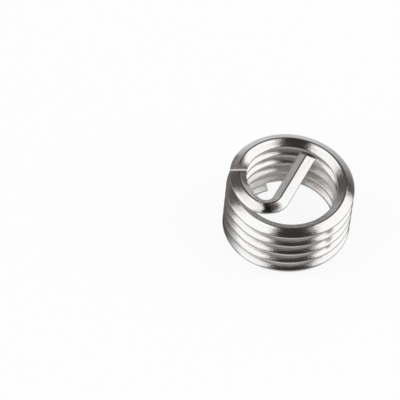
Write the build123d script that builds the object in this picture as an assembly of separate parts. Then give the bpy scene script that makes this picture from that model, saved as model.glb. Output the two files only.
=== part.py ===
from build123d import *
import os
from math import asin, atan2, cos, degrees, radians, tan

# Helical thread insert: one length of diamond-section spring wire, coiled right-handed.
# It lines an M10 x 1.5 tapping over one diameter, and is drawn free, before it is wound in.
# Millimetres. The origin is on the coil's axis, level with its lowest point.
# +Z runs up the axis to the end with the driving tang, whose free end points along +Y.

# Coil, in its free state
free_diameter = 12.4  # over the outer crests, a little more than the tapped hole
coil_turns = 5.06  # from the cut lower end to where the lead leaves the coil
coil_gap = 0.16  # daylight between one turn and the next

# Wire section: a crest outside and inside, and a rounded ridge above and below
wire_depth = 1.65  # from outer crest to inner crest
outer_crest_flat = 0.19
inner_crest_flat = 0.25
flank_angle = 30.0  # of each flank from square to the axis, so both crests are 60 degrees
ridge_radius = 0.2

# Lead, bend and driving tang, all in the plane in which the coil's upper end sets off
lead_radius = 4.55  # tighter than the coil, so that the lead enters the tapping first
lead_sweep = 93.6
bend_radius = 1.65  # to the middle of the wire
tang_end_gap = 0.55  # from the tang's free end to the inner crests ahead of it
tang_end_bevel = 0.5  # length along the tang of the slope left by the cutter, on its upper half

# Break-off notch, across the top of the lead
notch_sweep = 36.8  # along the lead to the notch's floor, from where the lead leaves the coil
notch_depth = 0.5
notch_floor = 0.2  # length of the flat floor along the wire
notch_coil_side = 20.0  # slope of the wall on the coil's side, from square to the floor
notch_tang_side = 42.0  # slope of the wall on the tang's side
notch_skew = 15.0  # of the whole notch from square to the wire, its outer end nearer the tang

# The ridges lie where the flanks from the two crests meet
flank_rise = tan(radians(flank_angle))
outer_depth = (wire_depth + (inner_crest_flat - outer_crest_flat) / 2 / flank_rise) / 2
inner_depth = wire_depth - outer_depth
sharp_height = outer_crest_flat / 2 + outer_depth * flank_rise
ridge_height = sharp_height - ridge_radius * (1 / cos(radians(flank_angle)) - 1)

ridge_circle = free_diameter / 2 - outer_depth
inner_radius = free_diameter / 2 - wire_depth
coil_pitch = 2 * ridge_height + coil_gap
tool_reach = wire_depth  # of each cutter beyond the middle of the wire, to clear its section


def wire_section(plane):
    """The wire's outline, on a plane whose X points out from the axis."""
    corners = [
        (outer_depth, outer_crest_flat / 2),
        (0, sharp_height),
        (-inner_depth, inner_crest_flat / 2),
        (-inner_depth, -inner_crest_flat / 2),
        (0, -sharp_height),
        (outer_depth, -outer_crest_flat / 2),
    ]
    outline = make_face(Polyline(*corners, close=True))
    ridges = outline.vertices().sort_by(Axis.Y)
    return plane * fillet([ridges[0], ridges[-1]], ridge_radius)


def tang_curve():
    """Lead, bend and tang, drawn flat. The lead sets off along +X from the origin,
    and the coil's axis is at (0, ridge_circle), which the tang runs straight through."""
    lead = JernArc((0, 0), (1, 0), lead_radius, lead_sweep)
    axis_point = Vector(0, ridge_circle)
    bend_centre = lead @ 1 + (lead % 1).rotate(Axis.Z, 90) * bend_radius
    offset = bend_centre - axis_point
    # The tang touches the bend's circle, on a line from the axis
    tang_angle = degrees(atan2(offset.Y, offset.X)) + 180 + degrees(asin(bend_radius / offset.length))
    bend = JernArc(lead @ 1, lead % 1, bend_radius, tang_angle - lead_sweep)
    tang_length = (axis_point - bend @ 1).length + inner_radius - tang_end_gap
    tang = Line(bend @ 1, bend @ 1 + bend % 1 * tang_length)
    return [lead, bend, tang]


def cutter(plane, corners):
    """A prism right across the wire. The plane's X runs along the wire and its Z across it."""
    return extrude(plane * make_face(Polyline(*corners, close=True)), tool_reach, both=True)


def notch_cutter(lead_plane):
    """The break-off notch, cut from above: steep towards the coil and sloping towards the tang."""
    to_notch = lead_plane * JernArc((0, 0), (1, 0), lead_radius, notch_sweep)
    along = to_notch % 1
    square = Plane(origin=to_notch @ 1, x_dir=along, z_dir=along.cross(lead_plane.z_dir))
    bottom = ridge_height - notch_depth
    top = bottom + tool_reach
    coil_run = tool_reach * tan(radians(notch_coil_side))
    tang_run = tool_reach * tan(radians(notch_tang_side))
    corners = [(0, bottom), (notch_floor, bottom), (notch_floor + tang_run, top), (-coil_run, top)]
    return cutter(square.rotated((0, notch_skew, 0)), corners)


def bevel_cutter(lead_plane, tang):
    """The slope on the upper half of the tang's free end."""
    along = tang % 1
    plane = Plane(origin=tang @ 1, x_dir=along, z_dir=along.cross(lead_plane.z_dir))
    run = tool_reach * tang_end_bevel / ridge_height
    return cutter(plane, [(0, 0), (0, tool_reach), (-run, tool_reach)])


def thread_insert():
    coil = Helix(coil_pitch, coil_pitch * coil_turns, ridge_circle)
    inward = Vector(-(coil @ 1).X, -(coil @ 1).Y, 0)
    lead_plane = Plane(origin=coil @ 1, x_dir=coil % 1, z_dir=(coil % 1).cross(inward))
    lead, bend, tang = [lead_plane * curve for curve in tang_curve()]
    lower_end = Plane(origin=coil @ 0, x_dir=(1, 0, 0), z_dir=-(coil % 0))
    wire = sweep(wire_section(lower_end), path=Wire([coil, lead, bend, tang]), is_frenet=True)
    wire -= notch_cutter(lead_plane)
    wire -= bevel_cutter(lead_plane, tang)
    # Turn the tang to +Y, and stand the coil on the origin's level
    heading = tang % 1
    wire = wire.rotate(Axis.Z, 90 - degrees(atan2(heading.Y, heading.X)))
    return wire.translate((0, 0, -wire.bounding_box().min.Z))


insert = thread_insert()
insert.label = "thread_insert"
os.makedirs("parts", exist_ok=True)
export_step(insert, "parts/thread_insert.step")
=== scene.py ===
from math import asin, atan2, ceil, cos, degrees, hypot, pi, radians, sin, tan

import bmesh
import bpy
from mathutils import Matrix, Vector


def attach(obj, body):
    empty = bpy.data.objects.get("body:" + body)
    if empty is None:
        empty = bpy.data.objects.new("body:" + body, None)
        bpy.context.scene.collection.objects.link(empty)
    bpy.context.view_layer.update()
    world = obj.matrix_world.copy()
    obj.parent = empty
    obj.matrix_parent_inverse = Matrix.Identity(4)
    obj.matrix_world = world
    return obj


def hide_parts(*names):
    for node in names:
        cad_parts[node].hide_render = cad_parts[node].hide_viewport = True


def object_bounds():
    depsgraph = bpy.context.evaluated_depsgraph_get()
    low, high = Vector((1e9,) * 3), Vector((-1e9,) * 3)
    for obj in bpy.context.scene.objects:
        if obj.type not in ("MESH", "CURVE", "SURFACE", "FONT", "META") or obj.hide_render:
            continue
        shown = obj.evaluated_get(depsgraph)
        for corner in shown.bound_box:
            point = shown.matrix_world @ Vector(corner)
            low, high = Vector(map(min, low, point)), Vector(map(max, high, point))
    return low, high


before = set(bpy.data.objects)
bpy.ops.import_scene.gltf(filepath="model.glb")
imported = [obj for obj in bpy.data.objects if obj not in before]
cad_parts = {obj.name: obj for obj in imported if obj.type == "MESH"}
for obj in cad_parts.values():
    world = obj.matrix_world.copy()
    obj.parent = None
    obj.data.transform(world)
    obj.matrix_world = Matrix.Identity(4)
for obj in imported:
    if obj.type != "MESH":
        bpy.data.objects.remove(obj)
cadLow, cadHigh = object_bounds()
mm = 0.001
print("wire insert: the model's frame is loaded")


# The wire's section in millimetres: a crest outside and inside, a rounded ridge above and below
section = {
    "depth": 1.65,
    "outerFlat": 0.19,
    "innerFlat": 0.25,
    "flankAngle": radians(30),
    "ridgeRadius": 0.2,
    "outerRadius": 0.11,  # how far the drawing die has rounded the crests' corners
    "innerRadius": 0.1,
    "ridgeSteps": 8,
    "crestSteps": 5,
    "outerBow": 0.008,  # the flanks swell by this much between crest and ridge
    "innerBow": 0.003,
    "flankRows": (0.03, 0.15, 0.32, 0.5, 0.68, 0.85, 0.97),  # shares of a flank
    "crestRows": (0.1, 0.9),  # shares of a crest's flat
}

flankRise = tan(section["flankAngle"])
outerDepth = (section["depth"] + (section["innerFlat"] - section["outerFlat"]) / 2 / flankRise) / 2
innerDepth = section["depth"] - outerDepth
sharpHeight = section["outerFlat"] / 2 + outerDepth * flankRise
ridgeHeight = sharpHeight - section["ridgeRadius"] * (1 / cos(section["flankAngle"]) - 1)

# The coil, then the lead, the bend and the tang, which lie in the plane in which the coil's end sets off
coil = {"freeDiameter": 12.4, "turns": 5.06, "gap": 0.16, "stepsPerTurn": 180}
tang = {
    "leadRadius": 4.55,
    "leadSweep": radians(93.6),
    "leadSteps": 48,
    "bendRadius": 1.65,
    "bendSteps": 44,
    "endGap": 0.55,
    "endBevel": 0.5,
    "straightSteps": 24,
}
notch = {
    "sweep": radians(36.8),  # along the lead, to the notch's floor
    "depth": 0.5,
    "floor": 0.2,
    "coilSide": radians(20.0),  # the walls' slopes, from square to the floor
    "tangSide": radians(42.0),
    "skew": radians(15.0),
}

ridgeCircle = coil["freeDiameter"] / 2 - outerDepth
innerRadius = coil["freeDiameter"] / 2 - section["depth"]
coilPitch = 2 * ridgeHeight + coil["gap"]
sheared, pressed = 1, 2  # the cut finishes' slots on the wire, after the drawn finish in slot 0


def cornerArc(corner, before, after, radius, steps):
    # The rounding of one corner of an outline, between the directions of its two sides
    turn = atan2(before.x * after.y - before.y * after.x, before.dot(after))
    start = corner - before * radius * tan(turn / 2)
    centre = start + Vector((-before.y, before.x)) * radius
    spoke = start - centre
    return [centre + Matrix.Rotation(turn * i / steps, 2) @ spoke for i in range(steps + 1)]


def sectionOutline():
    # Points (outwards, up), counter-clockwise from the upper corner of the outer crest
    corners = [
        (outerDepth, section["outerFlat"] / 2, "outer"),
        (0, sharpHeight, "ridge"),
        (-innerDepth, section["innerFlat"] / 2, "inner"),
        (-innerDepth, -section["innerFlat"] / 2, "inner"),
        (0, -sharpHeight, "ridge"),
        (outerDepth, -section["outerFlat"] / 2, "outer"),
    ]
    places = [Vector(corner[:2]) for corner in corners]
    kinds = [corner[2] for corner in corners]
    following = [(i + 1) % len(corners) for i in range(len(corners))]
    arcs = []
    for i, kind in enumerate(kinds):
        before = (places[i] - places[i - 1]).normalized()
        after = (places[following[i]] - places[i]).normalized()
        steps = section["ridgeSteps"] if kind == "ridge" else section["crestSteps"]
        arcs.append(cornerArc(places[i], before, after, section[kind + "Radius"], steps))
    outline = []
    for i, arc in enumerate(arcs):
        outline += arc
        start, end = arc[-1], arcs[following[i]][0]
        joined = {kinds[i], kinds[following[i]]}
        if "ridge" not in joined:
            outline += [start.lerp(end, share) for share in section["crestRows"]]
            continue
        run = (end - start).normalized()
        bow = section["innerBow" if "inner" in joined else "outerBow"]
        swell = Vector((run.y, -run.x)) * bow * 4
        outline += [start.lerp(end, share) + swell * share * (1 - share) for share in section["flankRows"]]
    return outline


def coilPath():
    # Stations along the coil: place, direction, outwards, up
    stations = []
    count = ceil(coil["turns"] * coil["stepsPerTurn"])
    climb = coilPitch / (2 * pi)
    for i in range(count + 1):
        turn = 2 * pi * coil["turns"] * i / count
        outwards = Vector((cos(turn), sin(turn), 0))
        ahead = Vector((-sin(turn) * ridgeCircle, cos(turn) * ridgeCircle, climb)).normalized()
        place = outwards * ridgeCircle + Vector((0, 0, climb * turn))
        stations.append((place, ahead, outwards, outwards.cross(ahead)))
    return stations


def flatPath():
    # Lead, bend and tang in their own plane, as (x, y, heading): x ahead, y towards the axis
    leadRadius, leadSweep, bendRadius = tang["leadRadius"], tang["leadSweep"], tang["bendRadius"]
    bendX = (leadRadius - bendRadius) * sin(leadSweep)
    bendY = leadRadius - (leadRadius - bendRadius) * cos(leadSweep)
    away = hypot(bendX, bendY - ridgeCircle)
    heading = atan2(bendY - ridgeCircle, bendX) % (2 * pi) - pi + asin(bendRadius / away)
    flat = []
    for i in range(1, tang["leadSteps"] + 1):
        turn = leadSweep * i / tang["leadSteps"]
        flat.append((leadRadius * sin(turn), leadRadius - leadRadius * cos(turn), turn))
    for i in range(1, tang["bendSteps"] + 1):
        turn = leadSweep + (heading - leadSweep) * i / tang["bendSteps"]
        flat.append((bendX + bendRadius * sin(turn), bendY - bendRadius * cos(turn), turn))
    x, y, turn = flat[-1]
    length = hypot(x, y - ridgeCircle) + innerRadius - tang["endGap"]
    for i in range(1, tang["straightSteps"] + 1):
        run = length * i / tang["straightSteps"]
        flat.append((x + run * cos(turn), y + run * sin(turn), turn))
    return flat


def wirePath():
    # The whole path, and the flat path's frame: its origin, ahead, inwards and up
    stations = coilPath()
    origin, ahead, outwards, up = stations[-1]
    for x, y, turn in flatPath():
        direction = ahead * cos(turn) - outwards * sin(turn)
        stations.append((origin + ahead * x - outwards * y, direction, direction.cross(up), up))
    return stations, (origin, ahead, -outwards, up)


def sweptWire(stations):
    # A closed mesh, with each place's run along the wire and round its section in a map
    outline = sectionOutline()
    following = [(i + 1) % len(outline) for i in range(len(outline))]
    around = [0.0]
    for i, k in enumerate(following):
        around.append(around[-1] + (outline[k] - outline[i]).length)
    along = [0.0]
    for before, after in zip(stations, stations[1:]):
        along.append(along[-1] + (after[0] - before[0]).length)
    mesh = bmesh.new()
    drawnLength = mesh.loops.layers.uv.new("drawnLength")
    rings = []
    for place, _, outwards, up in stations:
        rings.append([mesh.verts.new(place + outwards * p.x + up * p.y) for p in outline])
    for i in range(len(rings) - 1):
        for j, k in enumerate(following):
            face = mesh.faces.new((rings[i][j], rings[i][k], rings[i + 1][k], rings[i + 1][j]))
            ends = ((i, j), (i, j + 1), (i + 1, j + 1), (i + 1, j))
            for loop, (m, n) in zip(face.loops, ends):
                loop[drawnLength].uv = (along[m], around[n])
    for cap in (rings[0][::-1], rings[-1]):
        mesh.faces.new(cap).material_index = sheared
    mesh.normal_update()
    return mesh


def addObject(name, data):
    made = bpy.data.objects.new(name, data)
    bpy.context.scene.collection.objects.link(made)
    return made


def addMesh(name, mesh):
    data = bpy.data.meshes.new(name)
    mesh.to_mesh(data)
    mesh.free()
    return addObject(name, data)


def prism(name, origin, ahead, up, outline, finishes):
    # A cutter: an outline in the plane of ahead and up, carried right across the wire.
    # Each side of the outline leaves its own finish on the wire.
    side = ahead.cross(up) * section["depth"]
    mesh = bmesh.new()
    near = [mesh.verts.new(origin + ahead * x + up * y - side) for x, y in outline]
    far = [mesh.verts.new(origin + ahead * x + up * y + side) for x, y in outline]
    mesh.faces.new(near)
    mesh.faces.new(far[::-1])
    for i, finish in enumerate(finishes):
        k = (i + 1) % len(outline)
        mesh.faces.new((near[k], near[i], far[i], far[k])).material_index = finish
    bmesh.ops.recalc_face_normals(mesh, faces=mesh.faces)
    return addMesh(name, mesh)


def notchCutter(origin, ahead, inwards, up):
    turn = notch["sweep"]
    radius = tang["leadRadius"]
    place = origin + ahead * radius * sin(turn) + inwards * (radius - radius * cos(turn))
    slant = turn + notch["skew"]  # the notch's outer end lies nearer the tang
    direction = ahead * cos(slant) + inwards * sin(slant)
    bottom = ridgeHeight - notch["depth"]
    reach = section["depth"]
    outline = [
        (0, bottom),
        (notch["floor"], bottom),
        (notch["floor"] + reach * tan(notch["tangSide"]), bottom + reach),
        (-reach * tan(notch["coilSide"]), bottom + reach),
    ]
    return prism("notchCutter", place, direction, up, outline, (pressed, sheared, sheared, sheared))


def bevelCutter(end, ahead, up):
    # The slope on the upper half of the tang's free end
    reach = section["depth"]
    run = reach * tang["endBevel"] / ridgeHeight
    return prism("bevelCutter", end, ahead, up, [(0, 0), (0, reach), (-run, reach)], (sheared,) * 3)


def carve(wire, cutter):
    for material in wire.data.materials:
        cutter.data.materials.append(material)
    cut = wire.modifiers.new(cutter.name, "BOOLEAN")
    cut.operation = "DIFFERENCE"
    cut.solver = "EXACT"
    cut.material_mode = "TRANSFER"
    cut.object = cutter
    view = bpy.context.evaluated_depsgraph_get()
    wire.data = bpy.data.meshes.new_from_object(wire.evaluated_get(view))
    wire.modifiers.clear()
    bpy.data.objects.remove(cutter)


def threadInsert():
    stations, leadFrame = wirePath()
    wire = addMesh("wire_coil", sweptWire(stations))
    for material in (drawnSteel(), cutSteel("sheared"), cutSteel("pressed")):
        wire.data.materials.append(material)
    end, ahead, _, up = stations[-1]
    carve(wire, notchCutter(*leadFrame))
    carve(wire, bevelCutter(end, ahead, up))
    # Turn the tang to +Y, stand the coil on the model's level, and go to metres
    turned = Matrix.Rotation(pi / 2 - atan2(ahead.y, ahead.x), 4, "Z")
    wire.data.transform(Matrix.Scale(mm, 4) @ turned)
    low = min(vertex.co.z for vertex in wire.data.vertices)
    wire.data.transform(Matrix.Translation((0, 0, cadLow.z - low)))
    wire.data.shade_smooth()
    wire.data.set_sharp_from_angle(angle=radians(32))  # the cuts' edges stay crisp
    return wire


def newMaterial(name):
    material = bpy.data.materials.new(name)
    material.use_nodes = True
    return material, material.node_tree


def node(tree, kind, feeds=None, **settings):
    # A new node. Each input in feeds gets a link from another node's output, or a plain value.
    made = tree.nodes.new("ShaderNode" + kind)
    for name, value in settings.items():
        setattr(made, name, value)
    for name, value in (feeds or {}).items():
        if isinstance(value, bpy.types.NodeSocket):
            tree.links.new(value, made.inputs[name])
        else:
            made.inputs[name].default_value = value
    return made


def reckoned(tree, operation, first, second):
    return node(tree, "Math", {0: first, 1: second}, operation=operation).outputs[0]


def ramped(tree, value, low, high, start=0.0, end=1.0):
    # The value's share between low and high, eased, then carried to start and end
    feeds = {"Value": value, "From Min": low, "From Max": high, "To Min": start, "To Max": end}
    return node(tree, "MapRange", feeds, interpolation_type="SMOOTHSTEP").outputs[0]


def tinted(tree, share, under, over):
    # A plain colour over another colour, which is plain or comes from a node, by a share
    if not isinstance(under, bpy.types.NodeSocket):
        under = (*under, 1)
    feeds = {"Factor": share, "A": under, "B": (*over, 1)}
    return node(tree, "Mix", feeds, data_type="RGBA").outputs["Result"]


def grain(tree, coordinates, length, width, detail, distortion=0.0):
    # Noise drawn out along the wire: its grains are length by width
    scale = (1 / length, 1 / width, 1)
    stretched = node(tree, "Mapping", {"Vector": coordinates, "Scale": scale}).outputs[0]
    feeds = {"Vector": stretched, "Scale": 1, "Detail": detail, "Roughness": 0.6, "Distortion": distortion}
    return node(tree, "TexNoise", feeds, noise_dimensions="2D").outputs[0]


def frayed(tree, coordinates, along, around):
    # The same coordinates, wandering to either side by up to half of each amount
    noise = node(tree, "TexNoise", {"Vector": coordinates, "Scale": 3}, noise_dimensions="2D")
    feeds = {0: noise.outputs["Color"], 1: (along, around, 0), 2: coordinates}
    moved = node(tree, "VectorMath", feeds, operation="MULTIPLY_ADD").outputs[0]
    feeds = {0: moved, 1: (along / 2, around / 2, 0)}
    return node(tree, "VectorMath", feeds, operation="SUBTRACT").outputs[0]


def spots(tree, coordinates, places):
    # A mask that is 1 at the middle of each place (along, round, half length, half width)
    total = None
    for along, around, halfLength, halfWidth in places:
        feeds = {
            "Vector": coordinates,
            "Location": (along, around, 0),
            "Scale": (halfLength, halfWidth, 1),
        }
        inSpot = node(tree, "Mapping", feeds, vector_type="TEXTURE").outputs[0]
        away = node(tree, "VectorMath", {0: inSpot}, operation="LENGTH").outputs["Value"]
        spot = ramped(tree, away, 1.0, 0.2)  # from its rim to near its middle
        total = spot if total is None else reckoned(tree, "MAXIMUM", total, spot)
    return total


# Bright drawn wire. Lengths are in millimetres, along the wire from its lower end
# and round its section from the upper corner of the outer crest.
drawnFinish = {
    "colour": (0.87, 0.863, 0.853),
    "tarnish": (0.70, 0.63, 0.56),
    "tarnishAbout": 0.12,  # share of it in faint patches all over
    "soot": (0.30, 0.24, 0.22),
    "sootAbout": 0.10,  # share of it in the streaks
    "roughness": (0.12, 0.24),
    "anisotropy": 0.5,
    "grains": {  # length, width, how finely they break up, and how far they wander
        "streak": (5.0, 0.09, 4),
        "band": (9.0, 0.35, 3),
        "patch": (4.5, 0.9, 4, 0.8),
        "ripple": (1.3, 0.7, 1),
        "speckle": (0.16, 0.09, 2),
    },
    "heights": {"ripple": 0.010, "band": 0.004, "streak": 0.0012, "speckle": 0.006},
    "marks": {  # where along, where round, half length, half width
        "darkMarksAndPaintedReflection": (  # darker patches by the notch, a painted dark reflection on the coil's front on turn above turn, and a pit
            (172.5, 1.13, 1.5, 0.3),
            (174.7, 1.62, 1.2, 0.6),
            (119.45, 0.55, 0.62, 0.48),
            (85.85, 0.55, 0.62, 0.48),
            (52.3, 0.58, 0.46, 0.34),
            (51.1, 0.05, 0.09, 0.06),
        ),
        "tarnished": (  # inside the lowest turns
            (62.0, 1.60, 2.4, 0.6),
            (28.6, 1.60, 2.6, 0.6),
        ),
        "bendMarkAndDarkReflection": ((179.40, 0.58, 1.0, 0.9),),  # painted dark reflection on the bend, with a tool mark's brownish speckle
        "paintedHighlight": ((178.30, 0.50, 0.62, 0.75),),  # a painted highlight, pale and matt, just before it
    },
    "fray": (0.3, 0.12),  # how far the marks' edges wander, along and round
    # The darker marks' colour, which also paints dark reflection on the coil's front
    "darkMarkAndReflectionColour": (0.36, 0.35, 0.335),
    "darkMarkAndReflectionShare": 0.9,
    "darkMarkAndReflectionRoughness": 0.2,  # on top of the wire's own
    # Pale and barely metallic: the painted highlight before the bend
    "paintedHighlightColour": (0.93, 0.925, 0.915),
    "paintedHighlightMetallic": 0.1,
    # Nearly black: the painted dark reflection on the bend
    "bendMarkAndReflectionColour": (0.07, 0.052, 0.05),
}


def drawnSteel():
    look = drawnFinish
    material, tree = newMaterial("drawn_steel")
    surface = tree.nodes["Principled BSDF"].inputs
    length = node(tree, "UVMap", uv_map="drawnLength").outputs[0]
    grains = {kind: grain(tree, length, *size) for kind, size in look["grains"].items()}
    wandering = frayed(tree, length, *look["fray"])
    marks = {kind: spots(tree, wandering, places) for kind, places in look["marks"].items()}

    # Colour: straw tarnish and faint streaks, then a painted highlight before the bend, the darker marks
    # with painted dark reflection on the coil's front, and a painted dark reflection on the bend
    tarnished = reckoned(tree, "MULTIPLY", marks["tarnished"], ramped(tree, grains["patch"], 0.25, 0.6))
    faint = ramped(tree, grains["patch"], 0.55, 0.8, 0.0, look["tarnishAbout"])
    sooty = reckoned(tree, "MULTIPLY", ramped(tree, grains["streak"], 0.35, 0.75), look["sootAbout"])
    # Painted dark reflection on the coil's front, with darker patches by the notch and a pit
    darkMarksAndPaintedReflection = reckoned(tree, "MULTIPLY", marks["darkMarksAndPaintedReflection"], look["darkMarkAndReflectionShare"])
    # Painted dark reflection on the bend, speckled like a tool mark
    bendMarkAndDarkReflection = reckoned(tree, "MULTIPLY", marks["bendMarkAndDarkReflection"], ramped(tree, grains["speckle"], 0.2, 0.5, 0.8, 1))
    colour = tinted(tree, reckoned(tree, "MAXIMUM", tarnished, faint), look["colour"], look["tarnish"])
    colour = tinted(tree, sooty, colour, look["soot"])
    # The painted highlight before the bend
    colour = tinted(tree, marks["paintedHighlight"], colour, look["paintedHighlightColour"])
    colour = tinted(tree, darkMarksAndPaintedReflection, colour, look["darkMarkAndReflectionColour"])
    colour = tinted(tree, bendMarkAndDarkReflection, colour, look["bendMarkAndReflectionColour"])
    tree.links.new(colour, surface["Base Color"])
    # The painted highlight is barely metallic
    tree.links.new(ramped(tree, marks["paintedHighlight"], 0, 1, 1, look["paintedHighlightMetallic"]), surface["Metallic"])

    # Sheen: duller where it is banded, streaked, or on the darker marks and painted dark reflection
    low, high = look["roughness"]
    banded = ramped(tree, grains["band"], 0.3, 0.7, low, (low + high) / 2)
    streaked = ramped(tree, grains["streak"], 0.4, 0.8, 0, (high - low) / 2)
    worn = reckoned(tree, "MULTIPLY", marks["darkMarksAndPaintedReflection"], look["darkMarkAndReflectionRoughness"])
    sheen = reckoned(tree, "ADD", reckoned(tree, "ADD", banded, streaked), worn)
    tree.links.new(sheen, surface["Roughness"])
    surface["Anisotropic"].default_value = look["anisotropy"]
    surface["Anisotropic Rotation"].default_value = 0.25  # the light spreads across the wire
    tangent = node(tree, "Tangent", direction_type="UV_MAP", uv_map="drawnLength")
    tree.links.new(tangent.outputs[0], surface["Tangent"])

    # Relief: soft waves, with the die's lines over them
    normal = None
    for kind, height in look["heights"].items():
        feeds = {"Height": grains[kind], "Distance": height * mm}
        if normal:
            feeds["Normal"] = normal
        normal = node(tree, "Bump", feeds).outputs[0]
    tree.links.new(normal, surface["Normal"])
    return material


# Where the wire was cut: sheared faces, torn along the cut, and the notch's pressed floor
cutFinish = {
    "shearedColour": ((0.36, 0.29, 0.24), (0.72, 0.65, 0.59)),
    "shearedRoughness": (0.42, 0.68),
    "shearedMetallic": 0.85,
    "pressedColour": ((0.80, 0.77, 0.75), (0.95, 0.93, 0.91)),
    "pressedRoughness": (0.45, 0.65),
    "pressedMetallic": 0.25,
    "grainSize": 0.12,
    "grainHeight": 0.004,
}


def cutSteel(kind):
    look = cutFinish
    material, tree = newMaterial(kind + "_steel")
    surface = tree.nodes["Principled BSDF"].inputs
    place = node(tree, "TexCoord").outputs["Object"]
    feeds = {"Vector": place, "Scale": 1 / (look["grainSize"] * mm), "Detail": 4}
    noise = node(tree, "TexNoise", feeds).outputs[0]
    colour = tinted(tree, ramped(tree, noise, 0.35, 0.65), *look[kind + "Colour"])
    tree.links.new(colour, surface["Base Color"])
    tree.links.new(ramped(tree, noise, 0.3, 0.7, *look[kind + "Roughness"]), surface["Roughness"])
    surface["Metallic"].default_value = look[kind + "Metallic"]
    bump = node(tree, "Bump", {"Height": noise, "Distance": look["grainHeight"] * mm})
    tree.links.new(bump.outputs[0], surface["Normal"])
    return material


wire = threadInsert()
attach(wire, "root")
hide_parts("thread_insert")
print("wire insert: the wire has", len(wire.data.polygons), "faces")


# The camera looks down on the coil from in front, rolled a little, through a long lens
picture = {
    "around": radians(-69.85),
    "above": radians(50.95),
    "roll": radians(5.9),
    "distance": 0.4,
    "width": 0.03873,  # of what it takes in, at the insert
    "aim": Vector((0, 0, 4.13)) * mm,
    "aside": 8.578 * mm,
    "raised": 0.174 * mm,
}


def addCamera():
    around, above, roll = picture["around"], picture["above"], picture["roll"]
    back = Vector((cos(around) * cos(above), sin(around) * cos(above), sin(above)))
    level = Vector((-sin(around), cos(around), 0))
    right = level * cos(roll) + back.cross(level) * sin(roll)
    up = back.cross(right)
    place = picture["aim"] - right * picture["aside"] + up * picture["raised"] + back * picture["distance"]
    data = bpy.data.cameras.new("camera")
    data.sensor_width = 36
    data.lens = data.sensor_width * picture["distance"] / picture["width"]
    data.clip_start = 0.05
    data.clip_end = 20
    camera = addObject("camera", data)
    camera.matrix_world = Matrix.Translation(place) @ Matrix((right, up, back)).transposed().to_4x4()
    bpy.context.scene.camera = camera


addCamera()


# The studio: a white sheet on a table in a dark room, with a tall upright panel on the left
# and a smaller one on the right, which leans over the sheet.
# Angles are in degrees, and around is counted from the camera's side, to the right.
# Lengths on the table are in millimetres from the axis, the others in metres.
studio = {
    "worldStrength": 0.55,
    "sheetColour": (0.93, 0.93, 0.93),
    "sheetWhite": 0.9,  # how far it counts as plain white where it is seen or mirrored
    "sheetSize": 8,
    "panels": (  # wide, tall and raised are shares of the distance
        {"around": -72.1, "above": 0, "roll": 0, "wide": 1.57, "tall": 4.6, "raised": 1.9},
        {"around": 93.5, "above": 36, "roll": -20, "wide": 1.12, "tall": 1.34, "raised": 0},
    ),
    "panelDistance": 0.4,
    "panelLight": 1.08,
    "panelEdge": 0.09,  # share of a panel's side over which it fades out
    "roomSize": 1.5,
    "roomColour": (1.0, 0.93, 0.86),  # where it is dark; its bright parts are white
    "roomWhite": 0.45,  # the tone at which it is white
    "boreEdge": 5.5,
    "coilEdge": 6.5,
    "boreTone": 0.38,  # of the table inside the coil, a painted shade
    "shadeTone": 0.35,  # and under it
    "tableFade": (9, 22),  # where the near tones give way to the far ones
    # By direction: the table near the coil and further off, the room at the table's edge
    # and overhead, and the height at which overhead begins
    "tones": (
        (-180, 0.50, 0.62, 0.42, 0.07, 34),
        (-150, 0.50, 0.85, 0.58, 0.10, 30),
        (-120, 0.36, 0.90, 0.45, 0.09, 28),
        (-90, 0.30, 0.50, 0.70, 0.05, 45),
        (-40, 0.42, 0.34, 0.45, 0.04, 50),
        (0, 0.62, 0.26, 0.28, 0.035, 40),
        (40, 0.44, 0.36, 0.35, 0.04, 50),
        (80, 0.30, 0.50, 0.50, 0.05, 50),
        (125, 0.30, 0.36, 0.28, 0.05, 24),
        (150, 0.45, 0.58, 0.48, 0.05, 24),
        (180, 0.50, 0.62, 0.42, 0.07, 34),
    ),
    # What twice reflected light finds instead: a bright patch overhead in front, which fades in
    # between two widths and two heights, and one on the right of the table inside the coil
    "glow": 1.0,
    "roomGlow": {"around": -8, "widths": (41.8, 19.8), "heights": (26, 38)},
    "boreGlow": {"around": 82, "from": (2.2, 3.1)},
}


def bearing(around, above):
    turn = picture["around"] + radians(around)
    lift = radians(above)
    return Vector((cos(turn) * cos(lift), sin(turn) * cos(lift), sin(lift)))


def bearingOf(place):
    around = (degrees(atan2(place.y, place.x) - picture["around"]) + 180) % 360 - 180
    return around, degrees(atan2(place.z, hypot(place.x, place.y)))


def eased(value, low, high):
    # The value's share between low and high, with soft ends
    share = min(max((value - low) / (high - low), 0), 1)
    return share * share * (3 - 2 * share)


def between(first, second, share):
    return first + (second - first) * share


def tonesAt(around):
    for before, after in zip(studio["tones"], studio["tones"][1:]):
        if before[0] <= around <= after[0]:
            share = eased(around, before[0], after[0])
            return [between(first, second, share) for first, second in zip(before[1:], after[1:])]


def roomTone(place):
    around, above = bearingOf(place)
    _, _, edge, overhead, top = tonesAt(around)
    return between(edge, overhead, eased(above, 0, top))


def tableTone(place):
    away = hypot(place.x, place.y) / mm
    if away < studio["boreEdge"]:
        return studio["boreTone"]
    if away < studio["coilEdge"]:
        return studio["shadeTone"]
    near, far = tonesAt(bearingOf(place)[0])[:2]
    return between(near, far, eased(away, *studio["tableFade"]))


def roomGlow(place):
    patch = studio["roomGlow"]
    around, above = bearingOf(place)
    share = eased(abs(around - patch["around"]), *patch["widths"]) * eased(above, *patch["heights"])
    return between(roomTone(place), studio["glow"], share)


def tableGlow(place):
    patch = studio["boreGlow"]
    if hypot(place.x, place.y) / mm > studio["boreEdge"]:
        return tableTone(place)
    towards = place.dot(bearing(patch["around"], 0)) / mm
    return between(tableTone(place), studio["glow"], eased(towards, *patch["from"]))


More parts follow.
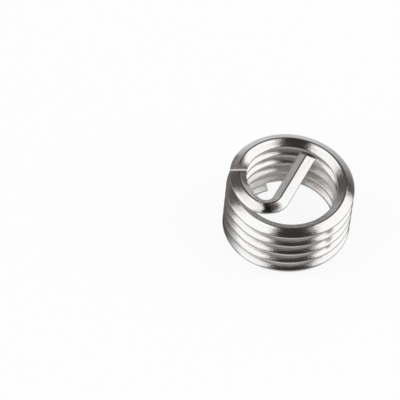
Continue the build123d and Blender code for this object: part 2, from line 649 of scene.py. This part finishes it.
def addPanel(number, panel):
    distance = studio["panelDistance"]
    towards = bearing(panel["around"], panel["above"])
    level = Vector((-towards.y, towards.x, 0)).normalized()
    data = bpy.data.lights.new(f"panel_{number}", "AREA")
    data.shape = "RECTANGLE"
    data.size = panel["wide"] * distance
    data.size_y = panel["tall"] * distance
    data.energy = studio["panelLight"] * data.size * data.size_y * pi
    # It fades out towards its edges
    data.use_nodes = True
    tree = data.node_tree
    across = node(tree, "SeparateXYZ", {0: node(tree, "NewGeometry").outputs["Parametric"]})
    fades = []
    for side in across.outputs[:2]:
        offset = reckoned(tree, "SUBTRACT", side, 0.5)
        middle = node(tree, "Math", {0: offset}, operation="ABSOLUTE").outputs[0]
        fades.append(ramped(tree, middle, 0.5, 0.5 - studio["panelEdge"]))
    tree.links.new(reckoned(tree, "MULTIPLY", *fades), tree.nodes["Emission"].inputs["Strength"])
    facing = Matrix((level, towards.cross(level), towards)).transposed()
    rolled = facing @ Matrix.Rotation(radians(panel["roll"]), 3, "Z")
    place = (towards + Vector((0, 0, panel["raised"]))) * distance
    addObject(f"panel_{number}", data).matrix_world = Matrix.Translation(place) @ rolled.to_4x4()


def toneMaterial():
    material, tree = newMaterial("room_tone")
    material.cycles.emission_sampling = "NONE"
    tree.nodes.clear()
    # Light that has gone from steel to steel finds the glow instead of the tone
    again = reckoned(tree, "GREATER_THAN", node(tree, "LightPath").outputs["Glossy Depth"], 1.5)
    tone, glow = (node(tree, "Attribute", attribute_name=name).outputs["Fac"] for name in ("tone", "glow"))
    level = node(tree, "Mix", {"Factor": again, "A": tone, "B": glow}).outputs["Result"]
    colour = tinted(tree, ramped(tree, level, 0, studio["roomWhite"]), studio["roomColour"], (1, 1, 1))
    light = node(tree, "Emission", {"Color": colour, "Strength": level})
    node(tree, "OutputMaterial", {"Surface": light.outputs[0]})
    return material


def addSurround(name, mesh, material, toneAt, glowAt):
    # Seen by the steel alone
    surround = addMesh(name, mesh)
    data = surround.data
    for attribute, levelAt in (("tone", toneAt), ("glow", glowAt)):
        levels = data.attributes.new(attribute, "FLOAT", "POINT").data
        for vertex in data.vertices:
            levels[vertex.index].value = levelAt(vertex.co)
    data.materials.append(material)
    surround.visible_camera = False
    surround.visible_diffuse = False
    surround.visible_shadow = False
    surround.visible_transmission = False
    return surround


def addRoom(material):
    mesh = bmesh.new()
    bmesh.ops.create_uvsphere(mesh, u_segments=96, v_segments=60, radius=studio["roomSize"])
    addSurround("room", mesh, material, roomTone, roomGlow)


def addTable(material):
    # A disc in rings, close together near the coil, with one on each side of an edge in tone
    start, end = studio["tableFade"]
    radii = [i / 2 for i in range(1, 10)]
    radii += [edge + side for edge in (studio["boreEdge"], studio["coilEdge"]) for side in (-0.1, 0.1)]
    radii += [between(start, end, i / 8) for i in range(9)]
    radii.append(studio["roomSize"] / mm)
    count = 96
    turns = [2 * pi * i / count for i in range(count)]
    mesh = bmesh.new()
    rings = []
    for radius in radii:
        points = [(radius * mm * cos(turn), radius * mm * sin(turn), 0) for turn in turns]
        rings.append([mesh.verts.new(point) for point in points])
    mesh.faces.new(rings[0])
    for inner, outer in zip(rings, rings[1:]):
        for i in range(count):
            k = (i + 1) % count
            mesh.faces.new((inner[i], inner[k], outer[k], outer[i]))
    table = addSurround("table", mesh, material, tableTone, tableGlow)
    table.location.z = cadLow.z + 0.01 * mm  # just over the floor


# A low grey flag close to the coil, which darkens its side as a neighbouring part would.
# Lengths in millimetres; the tone goes from back to front, and from the foot up.
flag = {
    "around": -98,
    "away": 10.5,
    "wide": 17,
    "tall": 9,
    "columns": 12,
    "rows": 6,
    "tones": (0.18, 0.9),
    "turn": (0.076, 0.328),  # shares of its width between which the tone changes
    "footShare": 0.15,  # of the tone that is left at the foot
    "footHeight": 8,
}


def alongFlag():
    out = bearing(flag["around"], 0)
    return Vector((-out.y, out.x, 0)) * flag["wide"] * mm


def flagTone(place):
    along = alongFlag()
    share = place.dot(along) / along.length_squared
    tone = between(*flag["tones"], eased(share, *flag["turn"]))
    return tone * between(flag["footShare"], 1, eased(place.z / mm, 0, flag["footHeight"]))


def addFlag(material):
    middle = bearing(flag["around"], 0) * flag["away"] * mm
    along = alongFlag()
    columns, rows = flag["columns"], flag["rows"]
    mesh = bmesh.new()
    grid = []
    for j in range(rows + 1):
        foot = middle + Vector((0, 0, flag["tall"] * mm * j / rows))
        grid.append([mesh.verts.new(foot + along * (i / columns - 0.5)) for i in range(columns + 1)])
    for under, over in zip(grid, grid[1:]):
        for i in range(columns):
            mesh.faces.new((under[i], under[i + 1], over[i + 1], over[i]))
    addSurround("flag", mesh, material, flagTone, flagTone)


def addFloor():
    mesh = bmesh.new()
    bmesh.ops.create_grid(mesh, x_segments=8, y_segments=8, size=studio["sheetSize"])
    floor = addMesh("floor", mesh)
    floor.location.z = cadLow.z
    material, tree = newMaterial("white_sheet")
    tree.nodes.clear()
    rays = node(tree, "LightPath").outputs
    seen = reckoned(tree, "ADD", rays["Is Camera Ray"], rays["Is Glossy Ray"])
    seen = reckoned(tree, "ADD", seen, rays["Is Transmission Ray"])
    share = node(tree, "Math", {0: seen, 1: studio["sheetWhite"]}, operation="MULTIPLY", use_clamp=True)
    paint = node(tree, "BsdfDiffuse", {"Color": (*studio["sheetColour"], 1)})
    white = node(tree, "Emission")
    mix = node(tree, "MixShader", {0: share.outputs[0], 1: paint.outputs[0], 2: white.outputs[0]})
    node(tree, "OutputMaterial", {"Surface": mix.outputs[0]})
    floor.data.materials.append(material)


def lightWorld():
    world = bpy.data.worlds.new("studio")
    world.use_nodes = True
    background = world.node_tree.nodes["Background"].inputs
    background["Color"].default_value = (1, 1, 1, 1)
    background["Strength"].default_value = studio["worldStrength"]
    bpy.context.scene.world = world


lightWorld()
for number, panel in enumerate(studio["panels"]):
    addPanel(number, panel)
tones = toneMaterial()
addRoom(tones)
addTable(tones)
addFlag(tones)
addFloor()
print("wire insert: the studio is lit")

bpy.context.scene.view_settings.view_transform = "Standard"
